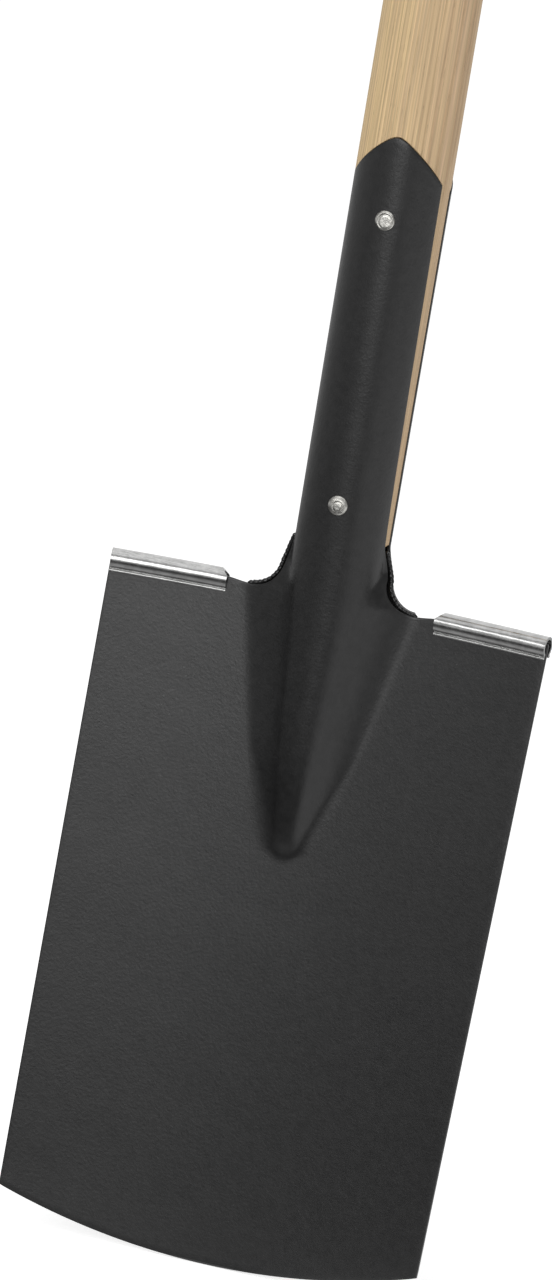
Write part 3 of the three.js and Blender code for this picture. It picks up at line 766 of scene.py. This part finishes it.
def wedge_solid(name, extra=0.0):
    """The wedge stands across the grip, wider above than below."""
    high = grip_height + GRIP_RADIUS + 1 * MM
    low = grip_height + GRIP_RADIUS - WEDGE_DEPTH - extra
    half = WEDGE_WIDTH / 2 + extra
    top, tip = WEDGE_TOP / 2 + extra, WEDGE_TIP / 2 + extra
    rings = []
    for y in np.linspace(-half, half, 9):
        rings.append(np.array([(-tip, y, low), (-top, y, high), (top, y, high), (tip, y, low)]))
    points, faces = lofted(rings)
    return new_piece(name, points, [face[::-1] for face in faces], wedge_ash)


def make_handle():
    hollow = np.linspace(-SHAFT_END_DEPTH, SEAM_HEIGHT, 30)
    beside_straps = np.linspace(SEAM_HEIGHT + 2 * MM, FRONT_POINT_HEIGHT + 10 * MM, 110)
    above = np.linspace(FRONT_POINT_HEIGHT + 14 * MM, grip_height, 140)
    rings = [shaft_ring(float(z)) for z in np.concatenate([hollow, beside_straps, above])]
    points, faces = lofted(rings)
    shaft = new_piece("ash_shaft", points, faces, shaft_ash)
    combine(shaft, seat_tool(blade_plan, BLADE_SHEET), "DIFFERENCE")
    combine(shaft, seat_tool(rear_plan, STRAP_SHEET), "DIFFERENCE")
    combine(shaft, grip_solid("grip_room", shaft_ash, CLEARANCE), "DIFFERENCE")
    tenon_foot = grip_height - GRIP_RADIUS - TENON_BELOW_GRIP
    tenon_top = grip_height + GRIP_RADIUS + TENON_ABOVE_GRIP
    tenon = upright("tenon", TENON_RADIUS, tenon_foot, tenon_top, shaft_ash, 60)
    envelope = grip_solid("envelope", shaft_ash)
    stub = upright("stub", TENON_RADIUS + 1 * MM, tenon_foot - 1 * MM, grip_height, shaft_ash, 8)
    combine(envelope, stub, "UNION")
    combine(tenon, envelope, "INTERSECT")
    combine(shaft, tenon, "UNION")
    combine(shaft, wedge_solid("wedge_room", TIGHT_FIT), "DIFFERENCE")
    crease(shaft, WOOD_CREASE)
    stands_for(shaft, "shaft")

    grip = grip_solid("turned_grip", grip_ash)
    bore = upright("bore", TENON_RADIUS + TIGHT_FIT, tenon_foot, tenon_top, grip_ash, 60)
    combine(grip, bore, "DIFFERENCE")
    crease(grip, WOOD_CREASE)
    stands_for(grip, "grip")

    wedge = wedge_solid("tenon_wedge")
    combine(wedge, grip_solid("envelope", wedge_ash), "INTERSECT")
    crease(wedge, WOOD_CREASE)
    stands_for(wedge, "grip_wedge")

    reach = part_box("grip_pin")[1].y
    dome = [(PIN_RADIUS * cos(t), reach - PIN_RADIUS * 0.5 * (1 - sin(t))) for t in np.linspace(pi / 2, 0, 7)]
    outline = [(radius, -along) for radius, along in dome] + list(reversed(dome))
    centre = (0, 0, grip_height - GRIP_RADIUS / 2)
    pin = turned("steel_grip_pin", outline, centre, (0, 1, 0), rivet_steel, 40)
    stands_for(pin, "grip_pin")


# ---- Geometry Nodes: welds, treads and rivets ----

class Recipe(Nodes):
    """A Geometry Nodes tree with named sizes as inputs."""

    def __init__(self, name, sizes):
        super().__init__(bpy.data.node_groups.new(name, "GeometryNodeTree"))
        face = self.tree.interface
        face.new_socket("Geometry", in_out="INPUT", socket_type="NodeSocketGeometry")
        kinds = {float: "NodeSocketFloat", int: "NodeSocketInt"}
        for label, kind in sizes.items():
            face.new_socket(label, in_out="INPUT", socket_type=kinds[kind])
        face.new_socket("Material", in_out="INPUT", socket_type="NodeSocketMaterial")
        face.new_socket("Geometry", in_out="OUTPUT", socket_type="NodeSocketGeometry")
        self.given = self.tree.nodes.new("NodeGroupInput").outputs

    def vector(self, x=0.0, y=0.0, z=0.0):
        return self.add("ShaderNodeCombineXYZ", {"X": x, "Y": y, "Z": z}).outputs[0]

    def end(self, geometry):
        real = self.add("GeometryNodeRealizeInstances", {0: geometry}).outputs[0]
        coloured = self.add("GeometryNodeSetMaterial", {0: real, "Material": self.given["Material"]})
        smooth_faces = self.add("GeometryNodeSetShadeSmooth", {0: coloured.outputs[0]})
        self.add("NodeGroupOutput", {0: smooth_faces.outputs[0]})

    def apply(self, piece, sizes, material):
        """Runs the recipe on a piece and leaves a plain mesh."""
        modifier = piece.modifiers.new(self.tree.name, "NODES")
        modifier.node_group = self.tree
        for item in self.tree.interface.items_tree:
            if item.in_out == "INPUT" and item.name in sizes:
                modifier[item.identifier] = sizes[item.name]
            elif item.in_out == "INPUT" and item.name == "Material":
                modifier[item.identifier] = material
        return bake(piece)


def line_piece(name, points, closed=False):
    """A chain of edges, which a recipe sweeps along or takes as its section."""
    mesh = bpy.data.meshes.new(name)
    count = len(points)
    edges = [(k, (k + 1) % count) for k in range(count if closed else count - 1)]
    mesh.from_pydata(np.asarray(points, float).tolist(), edges, [])
    return add_object(name, mesh)


def weld_recipe():
    """A bead swept along a line, swelling once for each drop of the electrode."""
    r = Recipe("weld_bead", {"Bead radius": float, "Drop pitch": float, "Unevenness": float, "Seed": int})
    path = r.add("GeometryNodeMeshToCurve", {0: r.given["Geometry"]}).outputs[0]
    path = r.add("GeometryNodeResampleCurve", {0: path, "Count": 190}).outputs[0]
    spline = r.add("GeometryNodeSplineParameter").outputs
    turn = r.math("MULTIPLY", r.math("DIVIDE", spline["Length"], r.given["Drop pitch"]), 2 * pi)
    mean, ripple_depth, taper, thinnest = 0.86, 0.09, 26.0, 0.05
    ripple = r.math("MULTIPLY", r.math("SINE", turn), ripple_depth)
    left_over = r.math("SUBTRACT", 1.0, spline["Factor"])
    ends = r.math("MULTIPLY", r.math("MULTIPLY", spline["Factor"], left_over), taper)
    ends = r.math("SQRT", r.math("MINIMUM", r.math("MAXIMUM", ends, thinnest), 1.0))
    swell = r.math("MULTIPLY", r.math("ADD", mean, ripple), ends)
    radius = r.math("MULTIPLY", swell, r.given["Bead radius"])
    section = r.add("GeometryNodeCurvePrimitiveCircle", {"Resolution": 20, "Radius": 1.0}).outputs[0]
    swept = {"Curve": path, "Profile Curve": section, "Scale": radius, "Fill Caps": True}
    bead = r.add("GeometryNodeCurveToMesh", swept).outputs[0]
    place = r.add("GeometryNodeInputPosition").outputs[0]
    noise = r.add(
        "ShaderNodeTexNoise", {"Vector": place, "W": r.given["Seed"], "Scale": 520.0}, noise_dimensions="4D"
    )
    offset = r.vector_math("SUBTRACT", noise.outputs["Color"], (0.5, 0.5, 0.5))
    offset = r.scaled(offset, r.given["Unevenness"])
    bead = r.add("GeometryNodeSetPosition", {0: bead, "Offset": offset}).outputs[0]
    r.end(bead)
    return r


def make_welds():
    """A bead on each side of the neck, from the seam round the shoulder's fillet."""
    recipe = weld_recipe()
    seam = float(strap_radius(SEAM_HEIGHT))
    for number, (node, side) in enumerate([("left_weld", -1), ("right_weld", 1)]):
        x = mix(seam, fillet_centre + WELD_PAST_FILLET, np.linspace(0, 1, 60) ** 1.5)
        run_out = smooth(x - fillet_centre, -2 * WELD_PAST_FILLET, WELD_PAST_FILLET)
        z = neck_top(x, 0, seam, 0) - WELD_SINK * (1 + run_out)
        lift = np.minimum(base_face(x, z) - blade_face(x, z), WELD_MOST_LIFT)
        y = base_face(x, z) + BLADE_SHEET - WELD_FORWARD - lift / 2
        bead = line_piece("bead_" + node, np.stack([side * x, y, z + shoulder_level], 1))
        sizes = {
            "Bead radius": WELD_RADIUS, "Drop pitch": WELD_DROP, "Unevenness": WELD_UNEVENNESS,
            "Seed": number + 3,
        }
        recipe.apply(bead, sizes, run_enamel)
        stands_for(bead, node)


def tread_section():
    """A tread's section, (depth, height) from the middle of the blade's shoulder: out along the left, round
    the tube and back inside."""
    centre = TREAD_RISE - TREAD_RADIUS
    mouth = BLADE_SHEET / 2 + CLEARANCE
    middle_radius = TREAD_RADIUS - TREAD_WALL / 2
    pinch = asin((mouth + TREAD_WALL / 2) / middle_radius)
    half_wall = TREAD_WALL / 2
    lip_top = centre - TREAD_RADIUS * cos(pinch)
    middle_line = []
    for t in np.linspace(0, 1, 7):
        flare = half_wall + TREAD_LIP_FLARE * (1 - t) ** 1.6
        middle_line.append((mouth + flare, lip_top - TREAD_LIP * (1 - t)))
    for angle in np.linspace(pinch, 2 * pi - pinch, 61)[1:-1]:
        middle_line.append((middle_radius * sin(angle), centre - middle_radius * cos(angle)))
    middle_line += [(-depth, height) for depth, height in reversed(middle_line[:7])]
    line = np.array(middle_line)
    ahead = np.gradient(line, axis=0)
    ahead /= np.linalg.norm(ahead, axis=1, keepdims=True)
    side = np.stack([ahead[:, 1], -ahead[:, 0]], 1)
    turns = np.linspace(0, pi, 9)[1:-1, None]
    rounded_end = line[-1] + half_wall * (side[-1] * np.cos(turns) + ahead[-1] * np.sin(turns))
    rounded_start = line[0] - half_wall * (side[0] * np.cos(turns) + ahead[0] * np.sin(turns))
    outside, inside = line + side * half_wall, line - side * half_wall
    return np.concatenate([outside, rounded_end, inside[::-1], rounded_start])


def tread_recipe():
    """A slit tube swept from left to right along the dished, leaning shoulder, bevelled at its inner end."""
    r = Recipe("rolled_tread", {
        "Left": float, "Right": float, "Inner": float, "Outer": float, "Dish radius": float,
        "Lean": float, "Depth": float, "Level": float, "Bevel from": float,
    })

    def shoulder_line(x):
        dished = r.math("DIVIDE", r.math("MULTIPLY", x, x), r.math("MULTIPLY", r.given["Dish radius"], 2.0))
        return r.vector(x, r.math("SUBTRACT", r.given["Depth"], dished), r.given["Level"])

    place = r.add("GeometryNodeInputPosition").outputs[0]
    x = r.add("ShaderNodeSeparateXYZ", {0: place}).outputs["X"]
    ends = {"Start": r.vector(r.given["Left"]), "End": r.vector(r.given["Right"])}
    path = r.add("GeometryNodeCurvePrimitiveLine", ends).outputs[0]
    path = r.add("GeometryNodeResampleCurve", {0: path, "Count": 41}).outputs[0]
    path = r.add("GeometryNodeSetPosition", {0: path, "Position": shoulder_line(x)}).outputs[0]
    path = r.add("GeometryNodeSetCurveNormal", {0: path}, mode="Z_UP").outputs[0]
    path = r.add("GeometryNodeSetCurveTilt", {0: path, "Tilt": r.given["Lean"]}).outputs[0]
    profile = r.add("GeometryNodeMeshToCurve", {0: r.given["Geometry"]}).outputs[0]
    swept = {"Curve": path, "Profile Curve": profile, "Fill Caps": True}
    tube = r.add("GeometryNodeCurveToMesh", swept).outputs[0]
    up = r.vector(0.0, r.math("SINE", r.given["Lean"]), r.math("COSINE", r.given["Lean"]))
    from_line = r.vector_math("SUBTRACT", place, shoulder_line(x))
    height = r.measured("DOT_PRODUCT", from_line, up)
    cut = r.math("MAXIMUM", r.math("SUBTRACT", height, r.given["Bevel from"]), 0.0)
    length = r.math("SUBTRACT", r.given["Outer"], r.given["Inner"])
    from_outer = r.math("SUBTRACT", r.given["Outer"], r.math("ABSOLUTE", x))
    shift = r.math("MULTIPLY", cut, r.math("DIVIDE", from_outer, length, clamp=True))
    shift = r.math("MULTIPLY", shift, r.math("SIGN", x))
    r.end(r.add("GeometryNodeSetPosition", {0: tube, "Offset": r.vector(shift)}).outputs[0])
    return r


def make_treads():
    recipe = tread_recipe()
    outer = SHOULDER_WIDTH / 2 - TREAD_SETBACK
    inner = outer - TREAD_LENGTH
    for node, left, right in [("left_tread", -outer, -inner), ("right_tread", inner, outer)]:
        section = np.pad(tread_section()[::-1] * (1, -1), ((0, 0), (0, 1)))
        tread = line_piece("rolled_" + node, section, closed=True)
        sizes = {
            "Left": left, "Right": right, "Inner": inner, "Outer": outer, "Dish radius": DISH_RADIUS,
            "Lean": LEAN, "Depth": BLADE_SHEET / 2 - FACE_OFFSET, "Level": shoulder_level,
            "Bevel from": TREAD_RISE - TREAD_CHAMFER,
        }
        recipe.apply(tread, sizes, tube_steel)
        crease(tread, TUBE_CREASE)
        stands_for(tread, node)


def rivet_recipe():
    """Two struck heads on one shank: a ball pressed to a dome, flattened above a level, dented and ringed."""
    r = Recipe("struck_rivet", {
        "Seat": float, "Height": float, "Head radius": float, "Head height": float, "Shank radius": float,
        "Flattened at": float, "Dents": float, "Ring radius": float, "Ring depth": float, "Seed": int,
    })
    ball = r.add("GeometryNodeMeshUVSphere", {"Segments": 64, "Rings": 40, "Radius": 1.0}).outputs[0]
    place = r.add("GeometryNodeInputPosition").outputs[0]
    parts = r.add("ShaderNodeSeparateXYZ", {0: place})
    underside, softness = -0.25, 0.08
    ring_centre, ring_width = (0.08, -0.10, 0.0), 0.07
    lifted = r.math("MAXIMUM", parts.outputs["Z"], underside)
    flattened = r.add(
        "ShaderNodeMath", {0: lifted, 1: r.given["Flattened at"], 2: softness}, operation="SMOOTH_MIN"
    ).outputs[0]
    noise_inputs = {"Vector": place, "W": r.given["Seed"], "Scale": 3.2, "Detail": 3.0}
    noise = r.add("ShaderNodeTexNoise", noise_inputs, noise_dimensions="4D").outputs["Fac"]
    struck = r.math("MULTIPLY", r.math("SUBTRACT", noise, 0.5), r.given["Dents"])
    towards_top = r.math("MAXIMUM", parts.outputs["Z"], 0.0)
    struck = r.math("MULTIPLY", struck, towards_top)
    from_centre = r.measured("DISTANCE", r.vector_math("MULTIPLY", place, (1.0, 1.0, 0.0)), ring_centre)
    from_ring = r.math("DIVIDE", r.math("SUBTRACT", from_centre, r.given["Ring radius"]), ring_width)
    ring = r.math("EXPONENT", r.math("MULTIPLY", r.math("MULTIPLY", from_ring, from_ring), -1.0))
    ring = r.math("MULTIPLY", r.math("MULTIPLY", ring, r.given["Ring depth"]), towards_top)
    level = r.math("SUBTRACT", r.math("ADD", flattened, struck), ring)
    x = r.math("MULTIPLY", parts.outputs["X"], r.given["Head radius"])
    y = r.math("MULTIPLY", parts.outputs["Y"], r.given["Head radius"])
    z = r.math("MULTIPLY", level, r.given["Head height"])
    head = r.add("GeometryNodeSetPosition", {0: ball, "Position": r.vector(x, y, z)}).outputs[0]
    length = r.math("MULTIPLY", r.given["Seat"], 2.0)
    front_seat = r.vector(0.0, r.math("MULTIPLY", r.given["Seat"], -1.0), r.given["Height"])
    ends = r.add("GeometryNodeMeshLine", {
        "Count": 2, "Start Location": front_seat, "Offset": r.vector(0.0, length, 0.0),
    }).outputs[0]
    number = r.add("GeometryNodeInputIndex").outputs[0]
    tilt = r.math("SUBTRACT", pi / 2, r.math("MULTIPLY", number, pi))
    heads = r.add("GeometryNodeInstanceOnPoints", {
        "Points": ends, "Instance": head, "Rotation": r.vector(tilt, 0.0, 0.0),
    }).outputs[0]
    shank = r.add("GeometryNodeMeshCylinder", {
        "Vertices": 40, "Radius": r.given["Shank radius"], "Depth": length,
    }).outputs[0]
    shank = r.add("GeometryNodeTransform", {
        0: shank, "Translation": r.vector(0.0, 0.0, r.given["Height"]), "Rotation": (pi / 2, 0, 0),
    }).outputs[0]
    joined = r.tree.nodes.new("GeometryNodeJoinGeometry")
    for part in (heads, shank):
        r.tree.links.new(part, joined.inputs[0])
    r.end(joined.outputs[0])
    return r


def make_rivets():
    recipe = rivet_recipe()
    for node, height in RIVET_HEIGHTS.items():
        piece = line_piece("struck_" + node, [(0, 0, 0)])
        sizes = {
            "Seat": float(strap_radius(height)) + CLEARANCE * 0.3, "Height": height + shoulder_level,
            "Head radius": RIVET_HEAD_RADIUS, "Head height": RIVET_HEAD_HEIGHT,
            "Shank radius": RIVET_RADIUS, **RIVET_FINISHES[node],
        }
        recipe.apply(piece, sizes, rivet_steel)
        stands_for(piece, node)


# ---- Camera, floor and light ----

def place_camera():
    flat = cos(CAMERA_ELEVATION)
    back = Vector((sin(CAMERA_AZIMUTH) * flat, -cos(CAMERA_AZIMUTH) * flat, sin(CAMERA_ELEVATION)))
    right = Vector((cos(CAMERA_AZIMUTH), sin(CAMERA_AZIMUTH), 0))
    up = back.cross(right)
    rolled_right = right * cos(CAMERA_ROLL) + up * sin(CAMERA_ROLL)
    rolled_up = up * cos(CAMERA_ROLL) - right * sin(CAMERA_ROLL)
    data = bpy.data.cameras.new("camera")
    data.lens = CAMERA_LENS
    data.sensor_width = 36
    camera = add_object("camera", data)
    turn = Matrix((rolled_right, rolled_up, back)).transposed()
    place = Vector(CAMERA_AIM) + back * CAMERA_DISTANCE
    camera.matrix_world = Matrix.Translation(place) @ turn.to_4x4()
    bpy.context.scene.camera = camera


def shows_background(nodes):
    """One where the background is looked at straight, through glass or in a reflection."""
    path = nodes.add("ShaderNodeLightPath").outputs
    seen = nodes.math("MAXIMUM", path["Is Camera Ray"], path["Is Glossy Ray"])
    return nodes.math("MAXIMUM", seen, path["Is Transmission Ray"])


def make_floor():
    """A plain white floor. It adds a glow of its own where it is looked at, and keeps the shadow."""
    material, nodes = new_material("white_floor")
    place = nodes.object_place()
    dust = nodes.ramp(nodes.noise(place, 3, 3), [(0.3, (0.80, 0.80, 0.80)), (0.7, (0.84, 0.84, 0.84))])
    lit = nodes.add("ShaderNodeBsdfDiffuse", {"Color": dust}).outputs[0]
    strength = nodes.math("MULTIPLY", shows_background(nodes), FLOOR_GLOW)
    glow = nodes.add("ShaderNodeEmission", {"Strength": strength}).outputs[0]
    both = nodes.add("ShaderNodeAddShader", {0: lit, 1: glow}).outputs[0]
    nodes.add("ShaderNodeOutputMaterial", {"Surface": both})
    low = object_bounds()[0].z
    corners = [(x * FLOOR_REACH, y * FLOOR_REACH, low) for x, y in ((-1, -1), (1, -1), (1, 1), (-1, 1))]
    mesh = bpy.data.meshes.new("floor")
    mesh.from_pydata(corners, [], [(0, 1, 2, 3)])
    mesh.materials.append(material)
    floor = add_object("floor", mesh)
    floor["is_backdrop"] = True


def towards(azimuth, elevation):
    """The direction from the spade to an azimuth and elevation in degrees; azimuth 0 is straight in front."""
    a, e = np.radians(azimuth), np.radians(elevation)
    return np.stack([np.sin(a) * np.cos(e), -np.cos(a) * np.cos(e), np.sin(e)], axis=-1)


def grey_card(name, points, brightness):
    """A studio card that is seen only in reflections: a grid of points with a brightness at each."""
    mesh = bpy.data.meshes.new(name)
    mesh.from_pydata(points.reshape(-1, 3).tolist(), [], grid_quads(points).tolist())
    shade = mesh.attributes.new("brightness", "FLOAT", "POINT")
    shade.data.foreach_set("value", np.broadcast_to(brightness, points.shape[:2]).ravel())
    material, nodes = new_material(name)
    level = nodes.add("ShaderNodeAttribute", attribute_name="brightness").outputs["Fac"]
    glow = nodes.add("ShaderNodeEmission", {"Strength": level}).outputs[0]
    nodes.add("ShaderNodeOutputMaterial", {"Surface": glow})
    mesh.materials.append(material)
    card = add_object(name, mesh)
    card.visible_camera = False
    card.visible_diffuse = False
    card.visible_shadow = False
    card.visible_transmission = False
    card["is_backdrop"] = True


def between(value, limits):
    """One between two limits, easing to nothing at both over a card's soft edge."""
    low, high = limits
    return smooth(value, low, low + CARD_EDGE) * (1 - smooth(value, high - CARD_EDGE, high))


def hung_card(name, azimuths, elevations, distance, level):
    """A curved card hung round the spade, with soft edges that fade to the white behind it."""
    azimuth, elevation = np.meshgrid(np.linspace(*azimuths, 48), np.linspace(*elevations, 24), indexing="ij")
    inside = between(azimuth, azimuths) * between(elevation, elevations)
    points = towards(azimuth, elevation) * distance
    grey_card(name, points + (0, 0, shoulder_level), mix(1.0, level, inside))


def floor_cloth():
    """A dark cloth round the spade's foot, lighter on the right and fading into the white floor."""
    azimuth, radius = np.meshgrid(np.linspace(-180, 180, 97), np.geomspace(*CLOTH_REACH, 40), indexing="ij")
    right = smooth(azimuth, *CLOTH_LIGHT_FROM) * (1 - smooth(azimuth, *CLOTH_LIGHT_TO))
    dark = mix(CLOTH_FOOT, CLOTH_DARK, smooth(radius, *CLOTH_DARKENS))
    dark = mix(dark, CLOTH_LIGHT, right)
    brightness = mix(dark, 1.0, smooth(np.log(radius), *np.log(CLOTH_FADES)))
    points = towards(azimuth, 0 * azimuth) * radius[..., None]
    points = points + (0, 0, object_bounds()[0].z + 1 * MM)
    grey_card("floor_cloth", points, brightness)


def soft_box(name, azimuth, elevation, distance, size, strength, in_gloss=False):
    """A rectangular studio lamp aimed at the shoulders; strength is the radiance of its face."""
    data = bpy.data.lights.new(name, "AREA")
    data.shape = "RECTANGLE"
    data.size, data.size_y = size
    data.energy = strength * pi * size[0] * size[1]
    lamp = add_object(name, data)
    back = Vector(towards(azimuth, elevation))
    lamp.location = Vector((0, 0, shoulder_level)) + back * distance
    lamp.rotation_euler = back.to_track_quat("Z", "Y").to_euler()
    lamp.visible_camera = False
    lamp.visible_glossy = in_gloss


def make_world():
    """Even white light, and plain white where the background is looked at."""
    world = bpy.data.worlds.new("white_room")
    bpy.context.scene.world = world
    world.use_nodes = True
    world.node_tree.nodes.clear()
    nodes = Nodes(world.node_tree)
    strength = nodes.spread(shows_background(nodes), WORLD_LIGHT, 1.0)
    light = nodes.add("ShaderNodeBackground", {"Color": (1, 1, 1, 1), "Strength": strength}).outputs[0]
    nodes.add("ShaderNodeOutputWorld", {"Surface": light})


def light_studio():
    make_world()
    soft_box("key", -35, 40, 3.0, (2.0, 2.0), 0.95)
    soft_box("fill", 85, 20, 3.0, (2.0, 2.0), 0.3)
    soft_box("top", 0, 80, 3.0, (2.0, 2.0), 0.8)
    soft_box("window", 0, 15, 2.0, (0.9, 0.7), 2.4, in_gloss=True)
    soft_box("side_window", -26, 21, 3.0, (0.8, 0.24), 4.6, in_gloss=True)
    floor_cloth()
    hung_card("left_card", (-150, -38), (-9, 52), 6.0, 0.25)
    hung_card("low_card", (-70, -8), (-12, 8), 5.5, 0.1)
    hung_card("slit_card", (-25, -10), (-12, 18), 5.4, 0.08)
    hung_card("right_card", (14, 150), (-9, 52), 6.0, 0.25)
    hung_card("front_flag", (-62, 50), (25, 54), 5.0, 0.45)


place_camera()
make_sheets()
make_welds()
make_treads()
make_rivets()
make_handle()
make_floor()
light_studio()

scene = bpy.context.scene
scene.view_settings.view_transform = "Standard"
